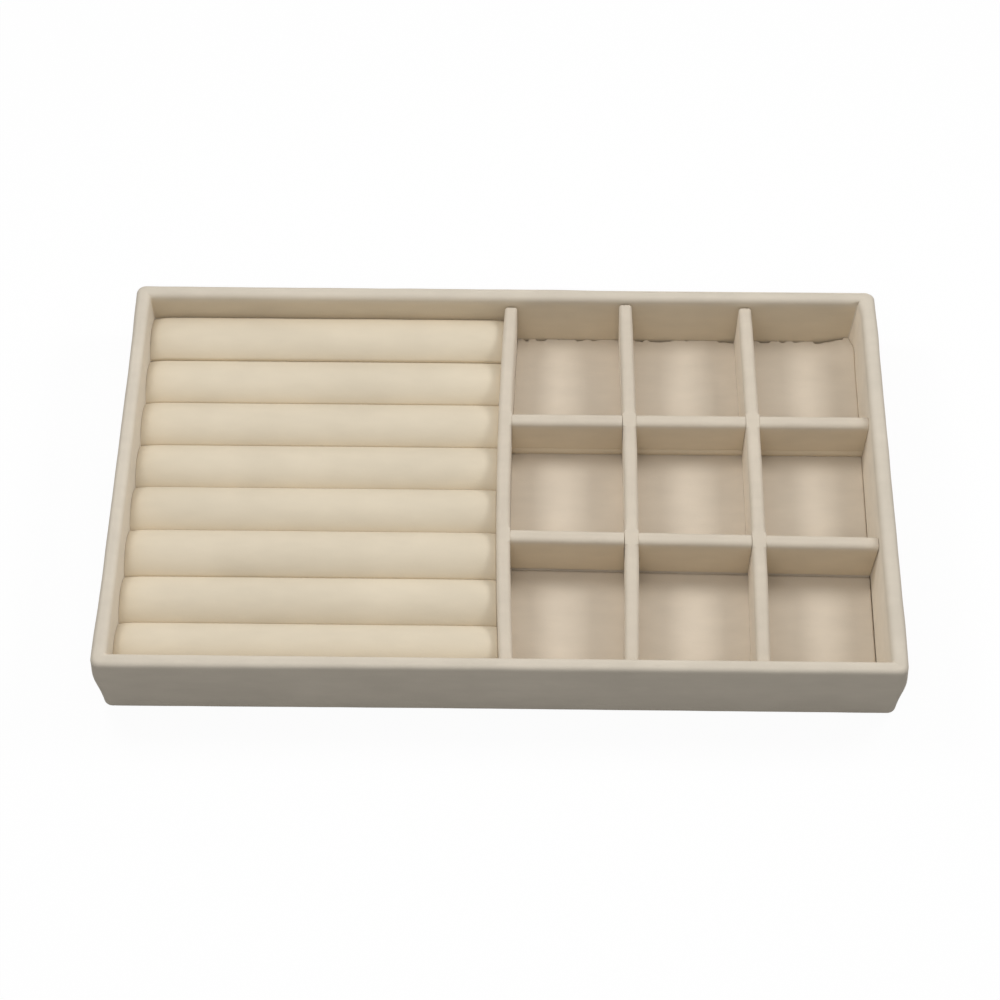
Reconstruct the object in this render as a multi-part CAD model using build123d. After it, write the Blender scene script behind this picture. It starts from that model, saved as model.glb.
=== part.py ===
from build123d import *

import os

# Jewelry tray: a low open tray of fibreboard covered in velvet. Eight padded ring rolls fill the left
# half, and two long and two cross dividers, half-lapped into each other, part the right half into nine
# compartments. One strip of velvet covers the walls from the floor inside, over the rim and down the
# outside, and is turned in under the base, where a plain sheet hides its raw edges.
# Millimetres. The origin is the middle of the underside, +X runs to the right, +Y to the back, +Z up.

# Overall size, over the velvet
tray_width = 300.0
tray_depth = 175.0
tray_height = 34.0
corner_radius = 3.5
rim_round = 1.75
foot_round = 2.0

# Thickness of each material
velvet = 0.75
wall_board = 4.0
base_board = 3.0
divider_board = 4.0
bed_card = 1.25
floor_card = 1.25
sheet_thickness = 0.6

# Underside: the velvet's turned-in margin, and the sheet that laps over it
turn_in = 16.0
sheet_inset = 4.0
sheet_corner = 3.0
sheet_play = 0.3

# Ring bay, from the left wall to the partition
ring_bay = 142.8
roll_count = 8
roll_height = 18.1
roll_crown_share = 1.17
roll_shoulder_round = 2.4
roll_end_round = 1.0
roll_gap = 0.2
roll_end_gap = 0.2
card_gap = 0.3

# Compartments and the dividers between them
long_dividers = ("left", "right")
cross_dividers = ("front", "back")
cross_pitch = 54.5
divider_drop = 5.8
divider_edge_round = 1.6
divider_corner_round = 2.0
divider_end_gap = 0.4
lap_play = 0.3
pad_gap = 0.4
pad_edge_round = 0.6

# Cuts run past the faces they go through by this much
overrun = 1.0

# Levels, from the surface that the tray stands on
board_bottom = sheet_thickness + velvet
base_top = board_bottom + base_board
bed_top = base_top + bed_card
floor_top = base_top + floor_card + velvet
divider_top = tray_height - divider_drop
lap_level = (floor_top + divider_top) / 2

# Thickness over the velvet, and the clear space inside the walls
wall = wall_board + 2 * velvet
divider = divider_board + 2 * velvet
inner_width = tray_width - 2 * wall
inner_depth = tray_depth - 2 * wall
inner_right = inner_width / 2
inner_back = inner_depth / 2

# Places of the partition and the dividers, by their middles
ring_bay_right = ring_bay - inner_right
partition_x = ring_bay_right + divider / 2
grid_left = ring_bay_right + divider
grid_width = inner_right - grid_left
long_pitch = (grid_width + divider) / (len(long_dividers) + 1)
long_x = [grid_left - divider / 2 + (i + 1) * long_pitch for i in range(len(long_dividers))]
cross_y = [(i - (len(cross_dividers) - 1) / 2) * cross_pitch for i in range(len(cross_dividers))]

# Rolls, side by side from the front wall to the back wall
roll_pitch = inner_depth / roll_count
roll_width = roll_pitch - roll_gap
roll_length = ring_bay - 2 * roll_end_gap


def block(low, high):
    """A box between its lowest and its highest corner."""
    size = [top - bottom for bottom, top in zip(low, high)]
    return Pos(*low) * Box(*size, align=(Align.MIN, Align.MIN, Align.MIN))


def rounded_slab(width, depth, radius, bottom, top):
    """An upright slab with rounded corners, centred on the origin."""
    return Pos(0, 0, bottom) * extrude(RectangleRounded(width, depth, radius), top - bottom)


def open_box(inset):
    """Walls and base as one open box, its faces set in by inset from the face of the velvet."""
    body = rounded_slab(
        tray_width - 2 * inset,
        tray_depth - 2 * inset,
        corner_radius - inset,
        sheet_thickness + inset,
        tray_height - inset,
    )
    cavity = block(
        (-inner_right - inset, -inner_back - inset, base_top),
        (inner_right + inset, inner_back + inset, tray_height + overrun),
    )
    return body - cavity


def tray_boards():
    """The four wall boards, butted with the long ones outside, and the base board nested between them."""
    box = open_box(velvet)
    side = inner_right + velvet
    end = inner_back + velvet
    outside = tray_width / 2
    beyond = tray_depth / 2
    under = sheet_thickness
    return {
        "front_wall_board": box & block((-outside, -beyond, under), (outside, -end, tray_height)),
        "back_wall_board": box & block((-outside, end, under), (outside, beyond, tray_height)),
        "left_wall_board": box & block((-outside, -end, under), (-side, end, tray_height)),
        "right_wall_board": box & block((side, -end, under), (outside, end, tray_height)),
        "base_board": box & block((-side, -end, under), (side, end, base_top)),
    }


def wall_wrap():
    """The velvet over the walls, with its margin turned in under the base."""
    window = block(
        (turn_in - tray_width / 2, turn_in - tray_depth / 2, -overrun),
        (tray_width / 2 - turn_in, tray_depth / 2 - turn_in, board_bottom),
    )
    outside = open_box(0)
    outside = fillet(outside.faces().sort_by(Axis.Z)[0].edges(), foot_round)
    outside = fillet(outside.faces().sort_by(Axis.Z)[-1].edges(), rim_round)
    return outside - open_box(velvet) - window


def underside_sheet():
    """The sheet under the base: it laps over the turned-in margin and steps up to the board inside it."""
    lap = rounded_slab(
        tray_width - 2 * sheet_inset,
        tray_depth - 2 * sheet_inset,
        sheet_corner,
        0,
        sheet_thickness,
    )
    well_x = tray_width / 2 - turn_in - sheet_play
    well_y = tray_depth / 2 - turn_in - sheet_play
    raised = block((-well_x, -well_y, 0), (well_x, well_y, board_bottom))
    hollow_x = well_x - sheet_thickness
    hollow_y = well_y - sheet_thickness
    hollow = block((-hollow_x, -hollow_y, -overrun), (hollow_x, hollow_y, velvet))
    return lap + raised - hollow


def roll_form(inset):
    """A ring roll along X on z 0: flat foot, straight sides, and a low crown with rounded shoulders."""
    half = roll_width / 2 - inset
    top = roll_height - inset
    radius = roll_crown_share * roll_width / 2 - inset
    edge = top - radius + (radius**2 - half**2) ** (1 / 2)
    sides = Polyline((-half, edge), (-half, 0), (half, 0), (half, edge))
    crown = ThreePointArc((half, edge), (0, top), (-half, edge))
    form = extrude(make_face(Plane.YZ * (sides + crown)), roll_length / 2 - inset, both=True)
    shoulders = form.edges().filter_by(Axis.X).group_by(Axis.Z)[-1]
    return fillet(shoulders, roll_shoulder_round - inset)


def ring_rolls():
    """Each roll's foam and the velvet cover glued round it, numbered from the front."""
    foam = roll_form(velvet)
    outside = roll_form(0)
    for end in (outside.faces().sort_by(Axis.X)[0], outside.faces().sort_by(Axis.X)[-1]):
        foot_left_out = end.edges().sort_by(Axis.Z)[1:]
        outside = fillet(foot_left_out, roll_end_round)
    cover = outside - foam
    middle = (ring_bay_right - inner_right) / 2
    pieces = {}
    for i in range(roll_count):
        place = Pos(middle, (i + 1 / 2) * roll_pitch - inner_back, bed_top)
        pieces[f"ring_roll_foam_{i + 1}"] = place * foam
        pieces[f"ring_roll_cover_{i + 1}"] = place * cover
    return pieces


def ring_bed_card():
    """The card that the rolls are glued to."""
    return block(
        (card_gap - inner_right, card_gap - inner_back, base_top),
        (ring_bay_right - card_gap, inner_back - card_gap, bed_top),
    )


def divider_form(length, height, inset, slots=(), from_top=False, slot_end=0.0):
    """A divider along X on z 0, with its faces set in by inset and its foot left open.

    slots are the middles of the half-lap slots, which run to slot_end from the top or from the foot.
    Both upper corners are rounded.
    """
    top = height - inset
    outline = Pos(0, top / 2) * Rectangle(length - 2 * inset, top)
    slot_width = divider + lap_play + 2 * inset
    for x in slots:
        if from_top:
            low, high = slot_end - inset, top + overrun
        else:
            low, high = -overrun, slot_end + inset
        outline -= Pos(x, (low + high) / 2) * Rectangle(slot_width, high - low)
    upper = outline.vertices().group_by(Axis.Y)[-1].sort_by(Axis.X)
    outline = fillet([upper[0], upper[-1]], divider_corner_round - inset)
    return extrude(Plane.XZ * outline, divider / 2 - inset, both=True)


def covered_divider(place, length, height, **lap):
    """The board of a divider and its velvet sleeve, both in place."""
    board = divider_form(length, height, velvet, **lap)
    outside = divider_form(length, height, 0, **lap)
    upper_edges = outside.edges().filter_by(Axis.X).group_by(Axis.Z)[-1]
    sleeve = fillet(upper_edges, divider_edge_round) - board
    return place * board, place * sleeve


def dividers():
    """The partition beside the rolls, and the two long and two cross dividers on the floor pad."""
    pieces = {}
    long_length = inner_depth - 2 * divider_end_gap
    cross_length = grid_width - 2 * divider_end_gap
    cross_middle = (grid_left + inner_right) / 2
    height = divider_top - floor_top
    lap = lap_level - floor_top

    def add(name, made):
        pieces[f"{name}_board"], pieces[f"{name}_sleeve"] = made

    turned = Rot(0, 0, 90)
    place = Pos(partition_x, 0, base_top) * turned
    add("partition", covered_divider(place, long_length, divider_top - base_top))
    for side, x in zip(long_dividers, long_x):
        place = Pos(x, 0, floor_top) * turned
        made = covered_divider(place, long_length, height, slots=cross_y, slot_end=lap + lap_play / 2)
        add(f"long_divider_{side}", made)
    slots = [x - cross_middle for x in long_x]
    for side, y in zip(cross_dividers, cross_y):
        place = Pos(cross_middle, y, floor_top)
        made = covered_divider(
            place, cross_length, height, slots=slots, from_top=True, slot_end=lap - lap_play / 2
        )
        add(f"cross_divider_{side}", made)
    return pieces


def floor_pad():
    """The card on the floor of the compartments and the velvet over its top and edges."""
    left, right = grid_left + pad_gap, inner_right - pad_gap
    back = inner_back - pad_gap
    pad = block((left, -back, base_top), (right, back, floor_top))
    pad = fillet(pad.faces().sort_by(Axis.Z)[-1].edges(), pad_edge_round)
    card = block(
        (left + velvet, velvet - back, base_top),
        (right - velvet, back - velvet, base_top + floor_card),
    )
    return {"floor_pad_card": card, "floor_pad_velvet": pad - card}


def write(pieces):
    """Writes each piece to parts/NAME.step."""
    os.makedirs("parts", exist_ok=True)
    for name, piece in pieces.items():
        export_step(piece, f"parts/{name}.step")


write(
    {
        **tray_boards(),
        "wall_wrap": wall_wrap(),
        "underside_sheet": underside_sheet(),
        "ring_bed_card": ring_bed_card(),
        **ring_rolls(),
        **dividers(),
        **floor_pad(),
    }
)
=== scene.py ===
"""A velvet-covered jewelry tray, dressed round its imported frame.

Each sub-assembly of the tray is a class: the cloth over the walls, the ring rolls, the dividers, the floor
pad and the boards under them. Sizes are in millimetres and are read from the frame wherever it has them.
"""

from __future__ import annotations

import logging
import math
from dataclasses import dataclass, field
from enum import Enum

import bmesh
import bpy
import numpy as np
from mathutils import Euler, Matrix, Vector

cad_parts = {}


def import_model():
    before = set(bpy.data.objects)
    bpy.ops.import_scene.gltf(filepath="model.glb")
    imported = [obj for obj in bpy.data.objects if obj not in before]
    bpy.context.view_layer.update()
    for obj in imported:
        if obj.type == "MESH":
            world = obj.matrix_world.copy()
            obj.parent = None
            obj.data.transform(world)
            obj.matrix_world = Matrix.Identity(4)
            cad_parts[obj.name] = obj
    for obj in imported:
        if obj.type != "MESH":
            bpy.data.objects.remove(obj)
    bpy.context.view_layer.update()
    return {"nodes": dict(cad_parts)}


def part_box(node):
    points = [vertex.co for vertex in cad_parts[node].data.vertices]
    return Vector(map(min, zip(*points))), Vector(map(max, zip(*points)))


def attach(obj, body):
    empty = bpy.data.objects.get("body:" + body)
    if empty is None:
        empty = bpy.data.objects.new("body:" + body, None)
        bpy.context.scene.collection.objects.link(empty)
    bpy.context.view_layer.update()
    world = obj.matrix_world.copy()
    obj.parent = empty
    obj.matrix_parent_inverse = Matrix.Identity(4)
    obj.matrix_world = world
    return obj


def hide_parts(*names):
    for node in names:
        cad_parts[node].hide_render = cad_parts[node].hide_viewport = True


LOG = logging.getLogger("tray")
MM = 0.001
BODY = "root"
# Level of the compartments' floor
FLOOR = 6.35
# Points nearer than this are one, in metres, and sharper edges than this are creases
WELD = 1e-6
CREASE = math.radians(50)
FAR = 1e3
WHITE = (1.0, 1.0, 1.0, 1.0)

Array = np.ndarray
Node = bpy.types.Node
Floats = tuple[float, ...]
Pairs = tuple[tuple[float, float], ...]
Triple = tuple[float, float, float]
Surface = tuple[Array, Array]
Sockets = dict[str | int, object]


@dataclass(frozen=True)
class Extent:
    """The lowest and highest corner of something, in millimetres."""

    low: Array
    high: Array

    @classmethod
    def of_node(cls, name: str) -> Extent:
        """The extent of one node of the frame at rest."""
        low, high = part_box(name)
        return cls(np.array(low) / MM, np.array(high) / MM)

    @property
    def size(self) -> Array:
        """Its length along each axis."""
        return self.high - self.low

    @property
    def middle(self) -> Array:
        """Its centre."""
        return (self.high + self.low) / 2


# Curves and waves


def quarter(steps: int) -> Array:
    """Angles from nought to a quarter turn, both among them."""
    return np.linspace(0, math.pi / 2, steps + 1)


def hill(value: Array, width: float) -> Array:
    """A bell curve, one over nought and about a third at the given width."""
    return np.exp(-((value / width) ** 2))


def ease(value: Array) -> Array:
    """A smooth step: nought under nought, one over one, and a cubic between that starts and ends level."""
    share = np.clip(value, 0, 1)
    return share**2 * (3 - 2 * share)


def round_off(distance: Array, radius: float) -> Array:
    """How far a quarter circle falls short of the corner that it rounds, at a distance from it."""
    left = np.clip(radius - distance, 0, radius)
    return radius - np.sqrt(radius**2 - left**2)


@dataclass(frozen=True)
class Ripple:
    """Soft unevenness: a mean of sine waves, one for each length, with phases and slants set by the seed."""

    height: float
    lengths: Floats
    seed: int
    # How many times more they slant
    slant: float = 1.0

    def at(self, along: Array, across: Array) -> Array:
        """How high the cloth stands at each place along and across it."""
        draw = np.random.default_rng(self.seed)
        across = across * self.slant
        total = 0.0
        for length in self.lengths:
            phase, slant = draw.uniform(0, 2 * math.pi), draw.uniform(-1, 1)
            total = total + np.sin(2 * math.pi * (along + slant * across) / length + phase)
        return self.height * (total / len(self.lengths))


# Meshes


def grid_faces(rows: int, columns: int, round_rows: bool, round_columns: bool) -> Array:
    """Quads between the points of a grid, numbered row by row. Its rows or columns may close in a ring."""
    i = np.arange(rows if round_rows else rows - 1)[:, None]
    j = np.arange(columns if round_columns else columns - 1)[None, :]
    below, beside = (i + 1) % rows, (j + 1) % columns
    corners = (i * columns + j, below * columns + j, below * columns + beside, i * columns + beside)
    return np.stack(np.broadcast_arrays(*corners), -1).reshape(-1, 4)


def loft(x: Array, y: Array, z: Array) -> Surface:
    """A closed loft: each row of points is a section, and rungs between opposite points close its ends."""
    points = np.stack([x, y, z], -1)
    rows, columns = points.shape[:2]
    k = np.arange(columns // 2 - 1)
    rungs = np.stack([k, k + 1, columns - 2 - k, columns - 1 - k], -1)
    sides = grid_faces(rows, columns, False, True)
    return points, np.concatenate([sides, rungs, rungs + (rows - 1) * columns])


def add_piece(name: str, node: str, surface: Surface, finish: Finish, **painted_shading: Array) -> bpy.types.Object:
    """Adds a closed, smooth-shaded mesh at the origin, which rides on the tray in place of a node.

    Args:
        name: The piece's name.
        node: The node that it replaces.
        surface: Its points in millimetres, and four point numbers for each face.
        finish: What it is made of.
        painted_shading: For each attribute, how much painted shade or painted light each point takes, from
            nought to one.

    Returns:
        The piece.
    """
    points, faces = surface
    mesh = bpy.data.meshes.new(name)
    mesh.from_pydata((points.reshape(-1, 3) * MM).tolist(), [], faces.tolist())
    for painted_mask, amount in painted_shading.items():
        mesh.attributes.new(painted_mask, "FLOAT", "POINT").data.foreach_set("value", amount.ravel())
    shape = bmesh.new()
    shape.from_mesh(mesh)
    bmesh.ops.remove_doubles(shape, verts=shape.verts, dist=WELD)
    bmesh.ops.dissolve_degenerate(shape, edges=shape.edges, dist=WELD)
    rims = [edge for edge in shape.edges if edge.is_boundary]
    if rims:
        bmesh.ops.holes_fill(shape, edges=rims, sides=0)
    bmesh.ops.recalc_face_normals(shape, faces=shape.faces)
    shape.to_mesh(mesh)
    shape.free()
    mesh.polygons.foreach_set("use_smooth", np.ones(len(mesh.polygons), dtype=bool))
    mesh.set_sharp_from_angle(angle=CREASE)
    mesh.materials.append(finish.material())
    piece = bpy.data.objects.new(name, mesh)
    bpy.context.scene.collection.objects.link(piece)
    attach(piece, BODY)
    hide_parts(node)
    LOG.info("%s: %d faces, for %s", name, len(mesh.polygons), node)
    return piece


# Finishes


class Tree:
    """The node tree of a material, a world or a lamp, with short calls to add to it."""

    def __init__(self, owner: bpy.types.ID) -> None:
        """Empties the owner's tree."""
        owner.use_nodes = True
        self.nodes, self.links = owner.node_tree.nodes, owner.node_tree.links
        self.nodes.clear()

    def add(self, kind: str, sockets: Sockets | None = None, **settings: str) -> Node:
        """Adds a node.

        Args:
            kind: Its Blender type after ShaderNode.
            sockets: For each input, its value, the output that feeds it, or the node whose first output does.
            settings: Values for its properties.

        Returns:
            The node.
        """
        node = self.nodes.new(f"ShaderNode{kind}")
        for name, value in settings.items():
            setattr(node, name, value)
        for socket, value in (sockets or {}).items():
            if isinstance(value, Node):
                value = value.outputs[0]
            if isinstance(value, bpy.types.NodeSocket):
                self.links.new(value, node.inputs[socket])
            else:
                node.inputs[socket].default_value = value
        return node

    def noise(self, scale: float, detail: float, stretch: Triple = (1, 1, 1)) -> Node:
        """Adds noise on the object's own coordinates, with this many cells to the metre and octaves."""
        place = self.add("TexCoord").outputs["Object"]
        mapping = self.add("Mapping", {"Vector": place, "Scale": stretch})
        return self.add("TexNoise", {"Vector": mapping, "Scale": scale, "Detail": detail})

    def shades(self, source: Node, dark: Triple, light: Triple, soft: float) -> Node:
        """Adds a blend of two colours, driven by a value that is within a soft range of a half."""
        ramp = self.add("ValToRGB", {"Fac": source})
        for stop, place, colour in zip(ramp.color_ramp.elements, (-soft, soft), (dark, light)):
            stop.position = 0.5 + place
            stop.color = (*colour, 1)
        return ramp

    def multiply(self, first: object, second: object, factor: object = 1) -> bpy.types.NodeSocket:
        """Adds the product of two colours, by as much as the factor says, and gives its output."""
        sockets = {0: factor, 6: first, 7: second}
        return self.add("Mix", sockets, data_type="RGBA", blend_type="MULTIPLY").outputs[2]

    def bump(self, height: Node, distance: float, strength: float, **under: Node) -> Node:
        """Adds a bump of a height in metres, and over another bump where there is one, as Normal."""
        return self.add("Bump", {"Height": height, "Distance": distance, "Strength": strength, **under})


def spread(colour: Triple, share: float) -> tuple[Triple, Triple]:
    """The colour, darker and lighter by a share of itself."""
    return tuple(tuple(min(part * factor, 1.0) for part in colour) for factor in (1 - share, 1 + share))


@dataclass(frozen=True)
class Finish:
    """What a piece is made of: a name, the frame's material slot and a colour in linear light."""

    name: str
    slot: str
    colour: Triple

    def material(self) -> bpy.types.Material:
        """The finish's material, made once."""
        found = bpy.data.materials.get(self.name)
        if found is None:
            found = bpy.data.materials.new(self.name)
            tree = Tree(found)
            tree.add("OutputMaterial", {"Surface": tree.add("BsdfPrincipled", self.sockets(tree))})
        return found

    def sockets(self, tree: Tree) -> Sockets:
        """What goes into the shader: each kind of finish has its own."""
        raise NotImplementedError


@dataclass(frozen=True)
class Velvet(Finish):
    """Short-piled velvet: soft patches where the nap lies another way, over a fine pile that sheens."""

    patch_scale: float = 34.0
    patch_spread: float = 0.035
    patch_soft: float = 0.2
    brush_scale: float = 210.0
    brush_spread: float = 0.03
    brush_soft: float = 0.25
    brush_stretch: Triple = (0.35, 1, 1)
    pile_scale: float = 1500.0
    pile_height: float = 0.00012
    pile_strength: float = 0.35
    roughness: float = 0.95
    specular: float = 0.15
    sheen: float = 0.5
    sheen_roughness: float = 0.2
    sheen_tint: Triple = (1.0, 0.95, 0.87)
    # Painted shade and painted light: each attribute's tint multiplies the colour where that attribute of its
    # points is one. The first tint, warmer and darker, is painted shade; the second, a sixth brighter, is
    # painted light
    painted_shading: tuple[tuple[str, Triple], ...] = (("painted_shade", (0.98, 0.945, 0.87)), ("lit", (1.17, 1.17, 1.17)))

    def sockets(self, tree: Tree) -> Sockets:
        """What goes into the shader."""
        patches = tree.noise(self.patch_scale, 2)
        brush = tree.noise(self.brush_scale, 3, self.brush_stretch)
        pile = tree.noise(self.pile_scale, 2)
        broad = tree.shades(patches, *spread(self.colour, self.patch_spread), self.patch_soft)
        brushed = (1 - 2 * self.brush_spread,) * 3
        woven = tree.multiply(broad, tree.shades(brush, brushed, (1.0,) * 3, self.brush_soft))
        # Painted shade and painted light, multiplied in by each attribute
        for name, tint in self.painted_shading:
            painted_mask = tree.add("Attribute", attribute_name=name).outputs["Fac"]
            woven = tree.multiply(woven, (*tint, 1), painted_mask)
        swell = tree.bump(brush, self.pile_height, self.pile_strength)
        return {
            "Base Color": woven,
            "Normal": tree.bump(pile, self.pile_height, self.pile_strength, Normal=swell),
            "Roughness": self.roughness,
            "Specular IOR Level": self.specular,
            "Sheen Weight": self.sheen,
            "Sheen Roughness": self.sheen_roughness,
            "Sheen Tint": (*self.sheen_tint, 1),
        }


@dataclass(frozen=True)
class Pressed(Finish):
    """Pressed board, card or foam: speckled all through, matt and a little rough."""

    speck_scale: float = 900.0
    speck_spread: float = 0.18
    speck_soft: float = 0.22
    grit_height: float = 0.0001
    grit_strength: float = 0.4
    roughness: float = 0.9
    stretch: Triple = (1, 1, 1)

    def sockets(self, tree: Tree) -> Sockets:
        """What goes into the shader."""
        specks = tree.noise(self.speck_scale, 4, self.stretch)
        return {
            "Base Color": tree.shades(specks, *spread(self.colour, self.speck_spread), self.speck_soft),
            "Normal": tree.bump(specks, self.grit_height, self.grit_strength),
            "Roughness": self.roughness,
        }


WALL_VELVET = Velvet("wall velvet", "velvet", (0.695, 0.625, 0.52))
DIVIDER_VELVET = Velvet("divider velvet", "velvet", (0.685, 0.605, 0.495))
ROLL_VELVET = Velvet("ring roll velvet", "roll_velvet", (0.74, 0.65, 0.505), brush_spread=0.02)
PAD_VELVET = Velvet("floor velvet", "pad_velvet", (0.685, 0.6, 0.49))
FIBREBOARD = Pressed("fibreboard", "fibreboard", (0.36, 0.25, 0.15), stretch=(1, 1, 4))
CARD = Pressed("grey card", "card", (0.42, 0.39, 0.34), speck_scale=1400)
FOAM = Pressed("roll foam", "foam", (0.74, 0.68, 0.5), speck_scale=700, grit_height=0.0003)
BACKING = Pressed("underside sheet", "backing", (0.43, 0.38, 0.31), speck_scale=600, stretch=(1, 0.3, 1))


# Sub-assemblies


@dataclass
class WallWrap:
    """The velvet over the four walls: one profile carried round the tray's rounded oblong."""

    wall: float = 5.5
    thickness: float = 0.75
    corner: float = 3.5
    inner_corner: float = 0.5
    outer_round: float = 1.8
    inner_round: float = 3.2
    inner_power: float = 2.65
    foot_round: float = 2.0
    foot_level: float = 0.2
    foot_flat: float = 3.0
    sheet_edge: float = 4.0
    turn_in: float = 16.0
    floor_level: float = 4.35
    # The cloth's waves over the outer face, the inner face and the rim, and how far down the last reach
    ripple: Ripple = Ripple(0.06, (47.0, 31.0, 19.0), 3)
    puff: Ripple = Ripple(0.01, (61.0, 37.0, 23.0), 4)
    rim_ripple: Ripple = Ripple(0.05, (83.0, 41.0, 23.0), 5, 3.0)
    rim_depth: float = 5.0
    # How far the side walls' cloth stands out near their ends, how far along, and at and over what height
    flare: float = 1.25
    flare_reach: float = 23.0
    flare_level: float = 21.0
    flare_height: float = 9.5
    # How far it stands out half way along the front, right, back and left
    belly: Floats = (0.0, 0.4, -0.15, -0.2)
    # How much further forward the left end of the front wall lies, and how far along that fades
    front_left: float = 0.4
    front_left_reach: float = 150.0
    # The right half of the back rim is slack: how far in and down it lies, and where it starts and ends
    slack: float = 0.5
    sag: float = 0.5
    slack_start: float = 80.0
    slack_fade: float = 55.0
    # The tuck of the back wall's cloth under the right wall's, which is this share of the round below the rim
    tuck_depth: float = 0.7
    tuck_length: float = 1.1
    tuck_height: float = 0.9
    tuck_drop: float = 0.75
    # How far the right wall's cloth stands in at the back corner, at the rim and at the floor, and how
    # far that reaches along the wall, across from it and up from its foot
    bulge_top: float = 0.8
    bulge_foot: float = 2.2
    bulge_reach: float = 3.2
    bulge_width: float = 14.0
    bulge_start: float = 2.0
    # How far it leans in at the floor half way along, how much more to each millimetre forward, at least
    lean_middle: float = 0.36
    lean_slope: float = 0.0133
    lean_least: float = -0.4
    # How far under the rim the painted shade and painted light on the inner faces start, and over what height
    # they grow in
    painted_shading_start: float = 1.5
    painted_shading_height: float = 4.0
    # How far apart the stations along a side are, and how far they crowd towards its ends
    step: float = 2.4
    crowd: float = 5.0
    crowd_reach: float = 6.0
    corner_steps: int = 9

    @staticmethod
    def extent() -> Extent:
        """The wrap's extent in the frame."""
        return Extent.of_node("wall_wrap")

    def profile(self) -> tuple[Array, Array]:
        """The section of the cloth, out from under the base, round the foot, up the wall, over the rim and
        down inside, then back along the boards. The foot and the rim's outer edge are quarter circles, and
        its inner edge is a quarter of a squarer round: sine and cosine, each to a power under one.

        Returns:
            Distance in from the tray's outer face and height, for each point, and whether it is on the
            cloth's face, as one or nought.
        """
        under, top = self.extent().low[2], self.extent().high[2]
        turn = quarter(10)
        run = np.linspace(0, 1, 18)[1:-1, None]
        sine, cosine = np.sin(turn), np.cos(turn)
        soft = 2 / self.inner_power
        foot_arc = np.stack([1 - sine, 1 - cosine], -1) * self.foot_round + [0, self.foot_level]
        outer_arc = np.stack([1 - cosine, sine - 1], -1) * self.outer_round + [0, top]
        inner_arc = np.stack([sine**soft - 1, cosine**soft - 1], -1) * self.inner_round + [self.wall, top]
        margin = np.linspace([self.turn_in, under], [self.sheet_edge, under], 6)
        outside = foot_arc[-1] + (outer_arc[0] - foot_arc[-1]) * run
        inside = inner_arc[-1] + ([self.wall, self.floor_level] - inner_arc[-1]) * run
        gap, floor, behind = self.thickness, self.floor_level, self.wall - self.thickness
        back = [[self.wall, floor], [behind, floor], [behind, top - gap]]
        back += [[gap, top - gap], [gap, under + gap], [self.turn_in, under + gap]]
        foot = [[self.foot_flat, self.foot_level]]
        face = np.concatenate([margin, foot, foot_arc, outside, outer_arc, inner_arc, inside])
        return np.concatenate([face, back]), np.repeat([1, 0], [len(face), len(back)])

    def path(self) -> tuple[Array, Array, Array]:
        """Stations round the tray. Along a side they crowd towards its ends, as the distance less a bell
        of its own, and at a corner they turn on the spot.

        Returns:
            For each station, its distance along the side, the side's length, and the quarter turns made
            since the first side, whole on a side and part-way in a corner.
        """
        size = self.extent().size
        places, lengths, turns = [], [], []
        for side, length in enumerate((size[0], size[1]) * 2):
            half = np.linspace(0, length / 2, round(length / 2 / self.step) + 8)
            half = half - self.crowd * (1 - np.exp(-half / self.crowd_reach))
            half = half * length / 2 / half[-1]
            place = np.concatenate([half, (length - half)[-2::-1]])
            turning = np.linspace(0, 1, self.corner_steps + 1)[1:-1]
            places += [place, np.full(len(turning), length)]
            lengths.append(np.full(len(place) + len(turning), length))
            turns += [np.full(len(place), float(side)), side + turning]
        return np.concatenate(places), np.concatenate(lengths), np.concatenate(turns)

    def plan(self, share: Array, turns: Array, inward: Array) -> tuple[Array, Array]:
        """Where the cloth lies in plan: a side runs between the centres of its corners, and a corner's
        point lies on a circle about its centre, of what is left of the corner radius at that depth.

        Args:
            share: Share of the way along the side.
            turns: Quarter turns made.
            inward: Distance in from the outer face.

        Returns:
            X and Y for each point.
        """
        radius = np.maximum(self.corner - inward, self.inner_corner)
        side = np.floor(turns).astype(int) % 4
        angle = (turns - 1) * math.pi / 2
        plan = []
        corners = np.array([[-1, 1, 1, -1], [-1, -1, 1, 1]])
        for size, signs, arc in zip(self.extent().size, corners, (np.cos(angle), np.sin(angle))):
            near, far = signs[side], signs[(side + 1) % 4]
            centre = (near + (far - near) * share) * (size / 2 - (inward + radius))
            plan.append(centre + radius * arc)
        return plan[0], plan[1]

    def flared(self, x: Array, y: Array, height: Array) -> Array:
        """How far the outer face flares sideways near the tray's corners: a smooth step along the side
        wall, one across from it, and a bell in height."""
        half = self.extent().size[:2] / 2
        along = ease(1.5 - (half[1] - np.abs(y)) / self.flare_reach)
        across = ease(1 - (half[0] - np.abs(x)) / (2 * self.wall))
        return np.sign(x) * self.flare * along * across * hill(height - self.flare_level, self.flare_height)

    @classmethod
    def bulge(cls, x: Array, y: Array, height: Array) -> Array:
        """How far the right wall's cloth stands in, and pushes what is near it: a lean that grows straight
        towards the front and a bell at the back corner, which both grow down to the floor and fade across.

        Args:
            x: Where each point lies from left to right.
            y: Where it lies from front to back.
            height: Its height.

        Returns:
            The distance for each point.
        """
        extent = cls.extent()
        right, back = extent.high[:2] - cls.wall
        down = np.clip((extent.high[2] - height) / (extent.high[2] - FLOOR), 0, 1)
        along = hill(np.clip(back - y, 0, None), cls.bulge_reach)
        across = ease(1 - (right - x) / cls.bulge_width)
        lean = np.maximum(cls.lean_middle - cls.lean_slope * y, cls.lean_least) * down
        return ((cls.bulge_top + (cls.bulge_foot - cls.bulge_top) * down) * along + lean) * across

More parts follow.
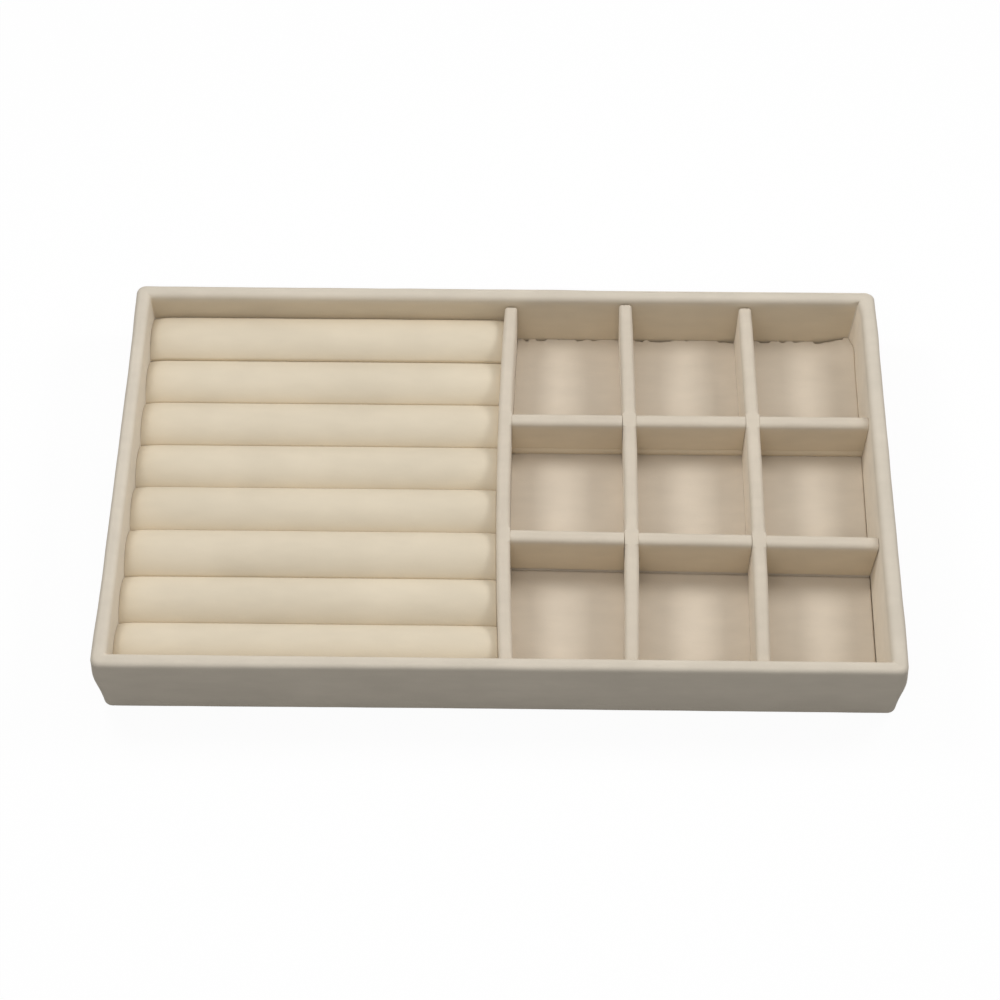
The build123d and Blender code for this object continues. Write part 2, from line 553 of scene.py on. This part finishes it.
    def build(self) -> None:
        """Builds the wrap. Only the cloth's face moves: the outer one by its waves, belly and flare, the
        inner one by its waves, the tuck and the bulge, and the rim by its waves and the slack."""
        section, skin = self.profile()
        place, length, turns = (part[:, None] for part in self.path())
        side = np.floor(turns).astype(int) % 4
        inward, height = section[None, :, 0], section[None, :, 1]
        width, depth = self.extent().size[:2]
        top = self.extent().high[2]
        around = place + side * length.mean()
        outer = (inward <= self.wall / 2) * skin
        inner = (inward > self.wall / 2) * (inward <= self.wall) * skin
        rim = hill(height - top, self.rim_depth) * skin
        slack = ease((self.slack_start + self.slack_fade - place) / self.slack_fade) * (side == 2)
        slack = slack + np.clip(turns - 1, 0, 1) * ((turns > 1) & (turns < 2))
        lift = (self.rim_ripple.height + self.rim_ripple.at(around, inward)) * rim
        lift = lift - self.sag * slack * rim * ease(1 - inward / (self.wall - self.thickness))
        level = height + lift

        belly = np.array(self.belly)[side] * ease(np.minimum(place, length - place) / self.flare_reach)
        fade = np.clip(1 - inward / (self.wall - self.inner_round), 0, 1) * skin
        swell = self.ripple.at(around, height) * np.clip((height - self.foot_level) / self.foot_round, 0, 1)
        out = swell + (belly - self.slack * slack) * fade
        from_tuck = np.where((turns >= 1.5) & (turns < 2), 0, np.where(turns == 2, place, FAR))
        under_rim = height - (top - self.inner_round * self.tuck_drop)
        tuck = self.tuck_depth * hill(from_tuck, self.tuck_length) * hill(under_rim, self.tuck_height)
        puff = self.puff.height + self.puff.at(around, height)
        x, y = self.plan(place / length, turns, inward + (puff - tuck) * inner - out * outer)

        bulge = self.bulge(x, y, height) * inner * ease((height - self.floor_level) / self.bulge_start)
        x = x + self.flared(x, y, height) * fade - bulge
        forward = self.front_left * ease(1 - (x + width / 2) / self.front_left_reach)
        y = y - forward * ease(1 - (depth / 2 + y) / self.wall) * fade
        points = np.stack([x, y, level], -1)
        faces = grid_faces(points.shape[0], points.shape[1], True, True)
        # Painted shade on the inner faces of the front and back walls, and painted light on the right wall's
        # inner face, growing in below the rim
        below = ease((top - self.painted_shading_start - level) / self.painted_shading_height) * inner
        painted_shading = {"painted_shade": below * (side % 2 == 0), "lit": below * (turns == 1)}
        add_piece("velvet_wall_wrap", "wall_wrap", (points, faces), WALL_VELVET, **painted_shading)


class Lap(Enum):
    """Which edge of a divider the half-lap slots are cut from."""

    NONE = "none"
    FOOT = "foot"
    TOP = "top"


@dataclass
class Divider:
    """A board in a velvet sleeve: a section with a rounded top, carried along and drawn in at both ends."""

    name: str
    along_y: bool
    lap: Lap = Lap.NONE
    lap_level: float = 0.0
    # Where other dividers cross it, how far each of those leans, and how far past it this one goes with it
    crossings: Floats = ()
    leans: Floats = ()
    lean_reach: float = 4.0
    # Its bend in plan: a shift of the middle, a bow towards both ends and a skew between them
    shift: float = 0.0
    bow: float = 0.0
    skew: float = 0.0
    # How far its foot lies to the right of where its top is
    lean: float = 0.0
    # How much higher its top is at the far end, and where it starts to rise
    rise: float = 0.0
    rise_start: float = 30.0
    # How far the hem at its foot stands out, and where its ridge, its groove and its top are
    hem: float = 0.0
    hem_ridge: float = 1.6
    hem_groove: float = 3.5
    hem_top: float = 4.8
    # How wide the ridge and the groove are, and how many times deeper the groove is
    ridge_width: float = 1.0
    groove_width: float = 0.5
    groove_depth: float = 1.5
    velvet: float = 0.75
    foot_gap: float = 0.25
    # How far past its frame node it reaches at its near or left end, and at its far or right one
    reach: tuple[float, float] = (0.2, -0.25)
    # The round of its upper edges, how much smaller it is at the ends and over what length
    edge_round: float = 1.9
    edge_blunt: float = 0.9
    blunt_reach: float = 3.0
    # How small it is where another divider meets it, and how far past that one it stays smaller
    joint_round: float = 0.15
    joint_fade: float = 0.9
    board_round: float = 0.3
    # Its ends: their round seen from the side and from above, how much thinner they are, over what length
    end_round: float = 0.5
    tip_round: float = 0.7
    tip_taper: float = 0.3
    taper_reach: float = 5.0
    # Its slots: the play and the round of their mouths
    play: float = 0.04
    mouth_round: float = 0.08
    # The velvet's waves over its top and its sides, and the gathers at its ends
    ripple: float = 0.05
    top_waves: Floats = (37.0, 21.0, 13.0)
    top_slant: float = 4.0
    side_waves: Floats = (29.0, 17.0)
    top_depth: float = 6.0
    seed: int = 11
    gather: float = 0.22
    gather_pitch: float = 1.1
    gather_reach: float = 1.3
    # How far under its top the painted shade or painted light on its sides starts, over what height it grows
    # in, and what share of the painted light the front end takes
    painted_shading_start: float = 1.0
    painted_shading_height: float = 3.0
    painted_light_front: float = 0.5
    step: float = 2.5

    @property
    def extent(self) -> Extent:
        """The extent of its sleeve in the frame."""
        return Extent.of_node(f"{self.name}_sleeve")

    @property
    def axis(self) -> int:
        """The axis that it runs along: nought from left to right, one from front to back."""
        return 1 if self.along_y else 0

    @property
    def thick(self) -> float:
        """Its thickness over the velvet."""
        return self.extent.size[1 - self.axis]

    def bend(self, place: Array | float) -> Array | float:
        """Its shift to one side, away from its middle: a parabola along its length, and a straight slant."""
        along = 2 * place / self.extent.size[self.axis]
        return self.shift + self.bow * along**2 + self.skew * along

    def runs_at(self, place: float) -> float:
        """Where it runs in the frame, to the right or back, at a place along it."""
        middle = self.extent.middle
        return middle[1 - self.axis] + self.bend(place - middle[self.axis])

    def meeting(self, place: Array) -> Array:
        """How near a divider is that meets this one: one over its thickness, and a smooth step beside it."""
        past = [(np.abs(place - at) - self.thick / 2) / self.joint_fade for at in self.crossings]
        return sum((ease(1 - one) for one in past), 0 * place)

    def between(self, start: float, stop: float) -> Array:
        """Places about one step apart, without the two ends."""
        return np.linspace(start, stop, max(round((stop - start) / self.step), 3) + 1)[1:-1]

    def stations(self, half: float, foot: float, top: float, inset: float) -> Array:
        """Sections along the divider, closer together at its ends and at the mouths of slots from the top.

        Args:
            half: Half its length.
            foot: Height of its foot.
            top: Height of its top.
            inset: How far its faces are set in from the velvet's.

        Returns:
            For each section, its place along, foot, top, and distance from the nearest mouth.
        """
        rows: list[Array] = []

        def add(place: Array, low: object, high: object, mouth: object) -> None:
            """Adds sections from values that broadcast together."""
            rows.append(np.stack(np.broadcast_arrays(place, low, high, mouth), -1))

        slot = (self.thick + self.play) / 2 + inset
        tip = self.tip_round * (1 - np.sin(quarter(7)))
        mouth = self.mouth_round * (1 - np.sin(quarter(6)))
        add(tip[::-1] - half, foot, top, FAR)
        edge = self.tip_round - half
        for crossing in sorted(self.crossings):
            near, far = crossing - slot, crossing + slot
            if self.lap is Lap.TOP:
                add(self.between(edge, near - self.mouth_round), foot, top, FAR)
                add(near - mouth, foot, top, mouth)
                add(np.array([near, far]), foot, self.lap_level - inset, FAR)
                add(far + mouth[::-1], foot, top, mouth[::-1])
                edge = far + self.mouth_round
            else:
                roof = self.lap_level + inset if self.lap is Lap.FOOT else foot
                fade = self.joint_fade * np.array([1, 0.5])
                add(self.between(edge, near - self.joint_fade), foot, top, FAR)
                add(near - fade, foot, top, FAR)
                add(np.array([near, near, far, far]), np.array([foot, roof, roof, foot]), top, FAR)
                add(far + fade[::-1], foot, top, FAR)
                edge = far + self.joint_fade
        add(self.between(edge, half - self.tip_round), foot, top, FAR)
        add(half - tip, foot, top, FAR)
        return np.concatenate(rows).T[..., None]

    def flank(self, half: Array, low: Array, high: Array, radius: Array) -> tuple[Array, Array]:
        """The left half of each section: a straight side up from the foot, a quarter circle and a flat top.

        Args:
            half: Half the thickness at each station.
            low: Height of the foot.
            high: Height of the top.
            radius: The circle's radius.

        Returns:
            Distance across and height, for each station and each point.
        """
        turn = quarter(6)[None, :]
        hem = np.linspace(0, self.hem_top, 17)[None, :]
        up = np.linspace(0, 1, 9)[None, 1:-1]
        up = low + self.hem_top + (high - radius - low - self.hem_top) * up
        side = np.concatenate([low + hem, up], 1)
        arc_y, arc_z = -half + radius * (1 - np.cos(turn)), high - radius * (1 - np.sin(turn))
        flat = (radius - half) * (1 - np.linspace(0, 1, 4)[None, 1:-1])
        across = np.concatenate([-half + 0 * side, arc_y, flat], 1)
        return across, np.concatenate([side, arc_z, high + 0 * flat], 1)

    def surface(self, inset: float) -> Surface:
        """The divider's closed surface, or its board's. Ends and mouths are rounded by quarter circles, the
        top rises by a square law towards the far end, and sine waves give the velvet's unevenness.

        Args:
            inset: How far its faces are set in from the velvet's: nought for the velvet itself.

        Returns:
            Its points, and its faces.
        """
        extent = self.extent
        cloth = inset == 0
        length = (extent.size[self.axis] + sum(self.reach)) / 2 - inset
        foot = extent.low[2] + (self.foot_gap if cloth else 0)
        place, low, high, mouth = self.stations(length, foot, extent.high[2] - inset, inset)
        from_end = length - np.abs(place)
        place = place + (self.reach[1] - self.reach[0]) / 2
        drop = round_off(from_end, self.end_round) + round_off(mouth, self.mouth_round)
        narrow = round_off(from_end, self.tip_round) + round_off(mouth, self.mouth_round) / 2
        narrow = narrow + self.tip_taper / 2 * hill(from_end, self.taper_reach) + self.ripple
        high = high - drop * cloth
        half = self.thick / 2 - inset - narrow * cloth
        blunt = self.edge_round - self.edge_blunt * hill(from_end, self.blunt_reach)
        met = blunt + (self.joint_round - blunt) * self.meeting(place)
        radii = (met if self.lap is Lap.FOOT else blunt, blunt if self.lap is Lap.TOP else met)
        radii = [np.minimum(radius if cloth else self.board_round, half) for radius in radii]
        (left_y, left_z), (right_y, right_z) = (self.flank(half, low, high, radius) for radius in radii)
        across = np.concatenate([left_y, -right_y[:, ::-1]], 1)
        level = np.concatenate([left_z, right_z[:, ::-1]], 1)
        if cloth:
            near_top = np.clip((level - (high - self.top_depth)) / self.top_depth, 0, 1)
            waves = Ripple(self.ripple, self.top_waves, self.seed, self.top_slant).at(place, across)
            gathers = self.gather / 2 * (1 + np.cos(2 * math.pi * across / self.gather_pitch))
            level = level + (waves - gathers * hill(from_end, self.gather_reach)) * near_top
            above = level - low
            lip = hill(above - self.hem_ridge, self.ridge_width)
            lip = lip - self.groove_depth * hill(above - self.hem_groove, self.groove_width)
            swell = Ripple(self.ripple, self.side_waves, self.seed + 1).at(place, level)
            across = across + (swell + self.hem * lip) * np.sign(across)
        climb = np.clip((place - self.rise_start) / (length - self.rise_start), 0, 1) ** 2
        level = level + self.rise * climb * (level - low) / (high - low)
        across = across + self.bend(place) + self.lean * np.clip((high - level) / (high - low), 0, 1)
        along = place + 0 * across
        for crossing, lean in zip(self.crossings, self.leans):
            down = np.clip((extent.high[2] - level) / extent.size[2], 0, 1)
            along = along + lean * down * ease(2 - np.abs(place - crossing) / self.lean_reach)
        middle = extent.middle
        if self.along_y:
            return loft(middle[0] + across, middle[1] + along, level)
        x, y = middle[0] + along, middle[1] + across
        return loft(x - WallWrap.bulge(x, y, level), y, level)

    def build(self) -> None:
        """Builds the sleeve, and the board in it, which bends with it."""
        points, faces = self.surface(0)
        # Painted shade down the sides of a cross divider; on one that runs front to back, painted light down
        # its left face instead, growing from the front end to the back
        below = points[..., 2].max(1, keepdims=True) - self.painted_shading_start - points[..., 2]
        below = ease(below / self.painted_shading_height)
        painted_shading = {"painted_shade": below}
        if self.along_y:
            left = np.arange(points.shape[1]) < points.shape[1] / 2
            from_front = (points[..., 1] - self.extent.low[1]) / self.extent.size[1]
            lit = below * left * (self.painted_light_front + (1 - self.painted_light_front) * from_front)
            painted_shading = {"lit": np.clip(lit, 0, 1)}
        add_piece(f"velvet_{self.name}", f"{self.name}_sleeve", (points, faces), DIVIDER_VELVET, **painted_shading)
        add_piece(f"board_{self.name}", f"{self.name}_board", self.surface(self.velvet), FIBREBOARD)


@dataclass
class Butted(Divider):
    """A divider whose square ends butt against the partition and the right wall."""

    lap: Lap = Lap.TOP
    reach: tuple[float, float] = (0.66, 0.35)
    end_round: float = 0.2
    tip_round: float = 0.25
    tip_taper: float = 0.0
    edge_blunt: float = 0.0
    gather: float = 0.0


@dataclass
class DividerGrid:
    """The partition beside the rolls, and the half-lapped dividers of the compartments."""

    lap_play: float = 0.1
    # How far each slot of a cross divider lies to the right of the divider that it takes
    slot_shift: float = 0.1
    partition: Divider = field(
        default_factory=lambda: Divider("partition", True, shift=-0.4, bow=2.0, rise=0.8)
    )
    long_ones: tuple[Divider, ...] = field(
        default_factory=lambda: (
            Divider("long_divider_left", True, Lap.FOOT, shift=0.35, bow=-1.0, rise=3.3, lean=0.7, seed=21),
            Divider("long_divider_right", True, Lap.FOOT, shift=0.35, bow=-1.0, rise=1.6, seed=28),
        )
    )
    cross_ones: tuple[Divider, ...] = field(
        default_factory=lambda: (
            Butted("cross_divider_front", False, skew=-0.9, foot_gap=0.9, reach=(0.66, 0.2), seed=51),
            Butted("cross_divider_back", False, hem=0.3, foot_gap=0.4, seed=58),
        )
    )

    def build(self) -> None:
        """Sets each divider's slots where the others cross it as they bend, and builds all five."""
        first = self.long_ones[0].extent
        lap_level = (first.low[2] + first.high[2]) / 2
        for one in (self.partition, *self.long_ones, *self.cross_ones):
            others, play, shift = self.cross_ones, self.lap_play, 0.0
            if not one.along_y:
                others, play, shift = self.long_ones, -self.lap_play, self.slot_shift
            middle = one.extent.middle
            one.crossings = tuple(
                other.runs_at(middle[other.axis]) - middle[one.axis] + shift for other in others
            )
            one.leans = tuple(other.lean for other in others)
            one.lap_level = lap_level + play
            one.build()


@dataclass
class RingRolls:
    """Foam rolls in velvet, packed side by side: a low crown with rounded shoulders on straight sides."""

    partition: Divider
    count: int = 8
    velvet: float = 0.75
    crown_radius: float = 11.88
    shoulder: float = 2.4
    end_round: float = 0.25
    end_play: float = 0.17
    side_play: float = 0.1
    # How much higher the crown is half way along, and how far and over what length it drops towards the
    # left and the right end
    crown: float = 0.15
    end_drops: Pairs = ((1.8, 8.0), (0.9, 4.5))
    ripple: float = 0.1
    waves: Floats = (61.0, 37.0, 24.0)
    slant: float = 2.0
    seed: int = 70
    # How far back of its even place each boundary between rolls lies, from the front wall to the back
    # one, and how far each roll's crown stands over the even height
    boundaries: Floats = (0.0, 0.65, 0.35, 0.7, 0.0, -0.7, -0.8, -0.55, 0.0)
    rises: Floats = (0.7, 0.4, 0.75, 0.0, -0.7, -0.75, -0.5, 1.0)
    stations: int = 60

    def section(self, half: Array, crest: Array, inset: float) -> tuple[Array, Array]:
        """A roll's section: up a straight side, round a shoulder, over the crown and down again. The
        shoulder's circle touches the side and the crown's circle, so its centre's distance from the crown's
        middle is one radius less the other.

        Args:
            half: Half the width at each station.
            crest: Height of the crown.
            inset: How far the surface is set in from the velvet's.

        Returns:
            Distance across and height, for each station and each point of the section.
        """
        crown, shoulder = self.crown_radius - inset, self.shoulder - inset
        phi = np.arcsin(np.clip((half - shoulder) / (crown - shoulder), -1, 1))
        centre = crest - crown + (crown - shoulder) * np.cos(phi)
        angle = math.pi / 2 + (phi - math.pi / 2) * np.linspace(0, 1, 9)[None, :]
        left_y, left_z = shoulder - half - shoulder * np.sin(angle), centre + shoulder * np.cos(angle)
        over = phi * (1 - 2 * np.linspace(0, 1, 27)[None, 1:-1])
        crown_y, crown_z = -crown * np.sin(over), crest - crown + crown * np.cos(over)
        up = np.linspace(0, 1, 7)[None, :-1]
        side_y, side_z = -half + 0 * up, centre * up
        across = np.concatenate([side_y, left_y, crown_y, -left_y[:, ::-1], -side_y[:, ::-1]], 1)
        return across, np.concatenate([side_z, left_z, crown_z, left_z[:, ::-1], side_z[:, ::-1]], 1)

    def surface(self, number: int, inset: float) -> Surface:
        """A roll's closed surface, or its foam's. The section is drawn in at the ends by quarter circles,
        and is stretched between the roll's two boundaries by the square of the height. The right end keeps
        to the partition's bend.

        Args:
            number: The roll's number, from the front.
            inset: How far the surface is set in from the velvet's: nought for the velvet itself.

        Returns:
            Its points, and its faces.
        """
        extent = Extent.of_node(f"ring_roll_cover_{number}")
        wall, top = extent.low[0] - self.end_play, extent.size[2]
        length = extent.size[0] + 2 * self.end_play
        end = self.end_round * (1 - np.sin(quarter(6)))
        run = np.linspace(self.end_round, length - self.end_round, self.stations)[1:-1]
        from_left = np.concatenate([end[::-1], run, length - end])[:, None]
        drawn = round_off(np.minimum(from_left, length - from_left), self.end_round)
        half = extent.size[1] / 2 + self.side_play - inset - drawn
        across, level = self.section(half, top + self.rises[number - 1] - inset - drawn, inset)
        share = np.clip(level / top, 0, 1)
        front, back = self.boundaries[number - 1 : number + 1]
        pulled = (front + back + (back - front) * across / half.max()) / 2
        uneven = Ripple(self.ripple, self.waves, self.seed + number, self.slant).at(from_left, across)
        middle = self.crown * (1 - (2 * from_left / length - 1) ** 4)
        for (drop, reach), apart in zip(self.end_drops, (from_left, length - from_left)):
            middle = middle - drop * np.clip(1 - apart / reach, 0, 1) ** 2
        level = level + (uneven + middle) * share**2
        y = extent.middle[1] + across + pulled * share**2
        stretch = 1 + self.partition.bend(y) / length
        x = wall + inset + from_left * (length * stretch - 2 * inset) / length
        return loft(x, y, extent.low[2] + level)

    def build(self) -> None:
        """Builds every roll's velvet cover and the foam in it."""
        for number in range(1, self.count + 1):
            cover_surface, foam_surface = (self.surface(number, inset) for inset in (0, self.velvet))
            name = f"ring_roll_{number}"
            cover = add_piece(f"velvet_{name}", f"ring_roll_cover_{number}", cover_surface, ROLL_VELVET)
            foam = add_piece(f"foam_{name}", f"ring_roll_foam_{number}", foam_surface, FOAM)


@dataclass
class FloorPad:
    """The velvet over the floor card: soft edges, a ragged back edge and a corner that curls up."""

    partition: Divider
    front_cross: Divider
    ripple: Ripple = Ripple(0.06, (33.0, 21.0, 15.0), 91, 0.7)
    # The dent at the foot of the front cross divider: how deep, wide and far in front, and its stations
    dent: float = 0.7
    dent_width: float = 0.6
    dent_place: float = -0.25
    dent_step: float = 0.2
    dent_span: tuple[float, float] = (-2.4, 1.2)
    # How round its left and right edges are, and its front and back ones
    edge_rounds: Pairs = ((0.05, 0.7), (0.4, 0.4))
    # The gap that it leaves at its sides, and how far in from a side and from the back it is stretched
    gap: float = 0.02
    side_reach: float = 5.0
    back_reach: float = 2.0
    # How much wider it is at the front of the right side, and where it starts and stops to widen
    front_gap: float = 0.06
    front_gap_span: tuple[float, float] = (-18.0, -38.0)
    # The wider gaps along the back wall: where each starts and ends
    dashes: Pairs = (
        *((6.7, 10.0), (12.5, 17.5), (21.8, 22.8), (24.2, 25.2), (29.2, 33.3), (35.4, 38.7)),
        *((46.0, 47.2), (53.7, 58.3), (59.6, 69.6), (75.0, 76.2), (88.3, 96.2), (105.3, 110.8)),
        *((114.1, 117.0), (119.5, 122.8), (128.0, 142.0)),
    )
    dash_width: float = 0.95
    dash_end: float = 0.9
    dash_ripple: Ripple = Ripple(0.35, (17.0, 6.0), 97)
    curl: float = 3.0
    curl_reach: float = 9.0
    step: tuple[float, float] = (0.7, 1.4)

    def axis(self, axis: int) -> tuple[Array, Array]:
        """Places along one axis and how far the surface drops there: nothing inside, a quarter circle at
        each edge and then straight down. They are closer together at the dent.

        Args:
            axis: Nought from left to right, one from front to back.

        Returns:
            The places, and the drop at each.
        """
        extent = Extent.of_node("floor_pad_velvet")
        low, high = extent.low[axis], extent.high[axis]
        first, last = self.edge_rounds[axis]
        near = 1 - np.cos(quarter(4))
        inner = np.linspace(low + first, high - last, round((high - low) / self.step[axis]))[1:-1]
        if axis == 1:
            foot = self.front_cross.extent.low[1]
            extra = np.arange(foot + self.dent_span[0], foot + self.dent_span[1], self.dent_step)
            apart = (inner < extra[0] - self.dent_step) | (inner > extra[-1] + self.dent_step)
            inner = np.sort(np.concatenate([inner[apart], extra]))
        place = np.concatenate([[low], low + first * near, inner, high - last * near[::-1], [high]])
        drop = round_off(place - low, first) + round_off(high - place, last)
        drop[[0, -1]] = np.inf
        return place, drop

    def build(self) -> None:
        """Builds the pad's velvet: a flat grid with waves, whose edges move by waves of their own."""
        extent = Extent.of_node("floor_pad_velvet")
        low, high = extent.low, extent.high
        (x, drop_x), (y, drop_y) = self.axis(0), self.axis(1)
        x, y = np.meshgrid(x, y, indexing="ij")
        cross = self.front_cross.extent
        foot = cross.low[1] + self.front_cross.bend(x - cross.middle[0]) - self.dent_place
        top = high[2] + self.ripple.at(x, y)
        top = top + self.curl * hill(np.hypot(high[0] - x, high[1] - y), self.curl_reach)
        top = top - self.dent * hill(y - foot, self.dent_width)
        level = np.maximum(top - drop_x[:, None] - drop_y[None, :], low[2])
        dashed = 0 * x
        for start, end in self.dashes:
            dashed = dashed + ease((x - start) / self.dash_end) * ease((end - x) / self.dash_end)
        wall = WallWrap.extent().high - WallWrap.wall
        face = self.partition.extent.high[0] + self.partition.bend(y)
        to_left, to_right = low[0] - face - self.gap, wall[0] - high[0] - self.gap
        start, stop = self.front_gap_span
        to_right = to_right - self.front_gap * ease((y - start) / (stop - start))
        dashed = self.dash_width * dashed * (1 + self.dash_ripple.at(x, 0 * y))
        to_back = wall[1] - high[1] - self.gap - dashed
        left, right = hill(x - low[0], self.side_reach), hill(high[0] - x, self.side_reach)
        back = hill(high[1] - y, self.back_reach)
        x_moved = x + right * to_right - left * to_left - WallWrap.bulge(x, y, 0 * x)
        points = np.stack([x_moved, y + back * to_back, level], -1)
        faces = grid_faces(points.shape[0], points.shape[1], False, False)
        add_piece("velvet_floor_pad", "floor_pad_velvet", (points, faces), PAD_VELVET)


@dataclass
class Boards:
    """The boards and cards under the velvet, and the sheet under the base: frame nodes, dressed."""

    finishes: tuple[tuple[str, Finish], ...] = (
        ("wall_board", FIBREBOARD),
        ("base_board", FIBREBOARD),
        ("card", CARD),
        ("underside_sheet", BACKING),
    )
    # The back wall's board: how round its upper edges are, and its outer corners in plan
    eased: float = 1.2
    corner: float = 2.75

    def build_back(self) -> None:
        """Builds the back wall's board: a section with quarter circles at its upper edges, carried from
        left to right, whose back face is drawn in at the ends by quarter circles."""
        extent = Extent.of_node("back_wall_board")
        (left, front, bottom), (right, back, top) = extent.low, extent.high
        end = self.corner * (1 - np.sin(quarter(6)))
        place = np.concatenate([left + end[::-1], np.linspace(left, right, 60)[2:-2], right - end])[:, None]
        thick = back - front - round_off(np.minimum(place - left, right - place), self.corner)
        turn = quarter(5)
        radius = np.minimum(self.eased, thick / 2)
        arc_y, arc_z = radius * (1 - np.cos(turn)), top - radius * (1 - np.sin(turn))
        foot_y, foot_z = 0 * thick, bottom + 0 * thick
        across = np.concatenate([foot_y, arc_y, thick - arc_y[:, ::-1], thick - foot_y], 1)
        level = np.concatenate([foot_z, arc_z, arc_z[:, ::-1], foot_z], 1)
        surface = loft(place + 0 * across, front + across, level)
        add_piece("board_back_wall", "back_wall_board", surface, FIBREBOARD)

    def dress(self, nodes: dict[str, bpy.types.Object]) -> None:
        """Gives each of the frame's nodes that stays its finish."""
        for name, node in nodes.items():
            for part, finish in self.finishes:
                if part in name:
                    node.data.materials.clear()
                    node.data.materials.append(finish.material())
                    LOG.info("%s: %s", name, finish.name)


# Studio


@dataclass(frozen=True)
class Lamp:
    """A round soft lamp aimed at the tray's middle: its place and radius in millimetres, and the light
    that it gives to a surface that faces it, near or far, as a lamp with a graded screen does."""

    name: str
    place: Triple
    radius: float
    light: float

    def build(self) -> None:
        """Builds the lamp. A disc's power is pi times the light that it gives at a metre."""
        away = Vector(self.place) * MM
        data = bpy.data.lights.new(self.name, "AREA")
        data.shape = "DISK"
        data.size = 2 * self.radius * MM
        data.energy = self.light * math.pi
        tree = Tree(data)
        falloff = tree.add("LightFalloff", {"Strength": 1})
        emission = tree.add("Emission", {"Color": WHITE, "Strength": falloff.outputs["Constant"]})
        tree.add("OutputLight", {"Surface": emission})
        lamp = bpy.data.objects.new(self.name, data)
        lamp.location = away
        lamp.rotation_euler = away.to_track_quat("Z", "Y").to_euler()
        lamp.visible_camera = False
        bpy.context.scene.collection.objects.link(lamp)


@dataclass
class Studio:
    """Pale floor, two lamps above and a little behind the tray, a third in front, and the camera."""

    ambient: float = 0.39
    floor_bounce: float = 0.31
    floor_shadow: float = 0.05
    floor_size: float = 6.0
    lamps: tuple[Lamp, ...] = (
        Lamp("left lamp", (-240.0, 125.0, 430.0), 84.0, 0.98),
        Lamp("right lamp", (345.0, 125.0, 400.0), 90.0, 1.05),
        Lamp("front lamp", (-40.0, -300.0, 540.0), 170.0, 0.4),
    )
    # The camera, with its focal length and its optical centre in pixels of the photograph
    focal_pixels: float = 2200.2
    centre_pixels: tuple[float, float] = (499.14, 500.88)
    image_pixels: float = 1000.0
    sensor: float = 36.0
    clip: tuple[float, float] = (0.05, 20.0)
    camera_place: Triple = (10.10, -460.13, 749.83)
    camera_turn: Triple = (0.55645, 0.00589, 0.0150)

    def background(self, tree: Tree) -> Node:
        """Adds one for rays that see the background, from the camera or by way of gloss or glass."""
        path = tree.add("LightPath")
        seen = path.outputs["Is Camera Ray"]
        for name in ("Is Glossy Ray", "Is Transmission Ray"):
            seen = tree.add("Math", {0: seen, 1: path.outputs[name]}, operation="MAXIMUM")
        return seen

    def make_world(self) -> None:
        """Makes the world: even light from all round, white where the camera sees it."""
        world = bpy.data.worlds.new("studio")
        tree = Tree(world)
        light = tree.add("Background", {"Color": WHITE, "Strength": self.ambient})
        sight = tree.add("Background", {"Color": WHITE, "Strength": 1})
        mix = tree.add("MixShader", {0: self.background(tree), 1: light, 2: sight})
        tree.add("OutputWorld", {"Surface": mix})
        bpy.context.scene.world = world

    def make_floor(self) -> None:
        """Makes the floor: white with a soft shadow to the camera, duller to the light it gives back."""
        half = self.floor_size / 2
        mesh = bpy.data.meshes.new("studio_floor")
        corners = [(-half, -half, 0), (half, -half, 0), (half, half, 0), (-half, half, 0)]
        mesh.from_pydata(corners, [], [(0, 1, 2, 3)])
        material = bpy.data.materials.new("studio floor")
        tree = Tree(material)
        dull = tree.add("BsdfDiffuse", {"Color": (*(self.floor_bounce,) * 3, 1)})
        lit = tree.add("BsdfDiffuse", {"Color": WHITE})
        soft = tree.add("MixShader", {0: self.floor_shadow, 1: tree.add("Emission"), 2: lit})
        seen = tree.add("MixShader", {0: self.background(tree), 1: dull, 2: soft})
        tree.add("OutputMaterial", {"Surface": seen})
        mesh.materials.append(material)
        floor = bpy.data.objects.new("studio_floor", mesh)
        bpy.context.scene.collection.objects.link(floor)

    def make_camera(self) -> None:
        """Makes the camera."""
        data = bpy.data.cameras.new("camera")
        data.sensor_width = self.sensor
        data.lens = self.focal_pixels / self.image_pixels * self.sensor
        data.shift_x = 0.5 - self.centre_pixels[0] / self.image_pixels
        data.shift_y = self.centre_pixels[1] / self.image_pixels - 0.5
        data.clip_start, data.clip_end = self.clip
        camera = bpy.data.objects.new("camera", data)
        camera.location = Vector(self.camera_place) * MM
        camera.rotation_euler = Euler(self.camera_turn)
        bpy.context.scene.collection.objects.link(camera)
        bpy.context.scene.camera = camera

    def build(self) -> None:
        """Sets the view, the world, the floor, the lamps and the camera."""
        bpy.context.scene.view_settings.view_transform = "Standard"
        self.make_world()
        self.make_floor()
        for lamp in self.lamps:
            lamp.build()
        self.make_camera()
        LOG.info("studio: %d lamps, lens %.1f mm", len(self.lamps), bpy.context.scene.camera.data.lens)


def main() -> None:
    """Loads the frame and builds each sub-assembly round it."""
    logging.basicConfig(level=logging.INFO, format="%(name)s: %(message)s")
    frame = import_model()
    grid = DividerGrid()
    WallWrap().build()
    RingRolls(grid.partition).build()
    grid.build()
    FloorPad(grid.partition, grid.cross_ones[0]).build()
    boards = Boards()
    boards.build_back()
    boards.dress(frame["nodes"])
    Studio().build()


if __name__ == "__main__":
    main()
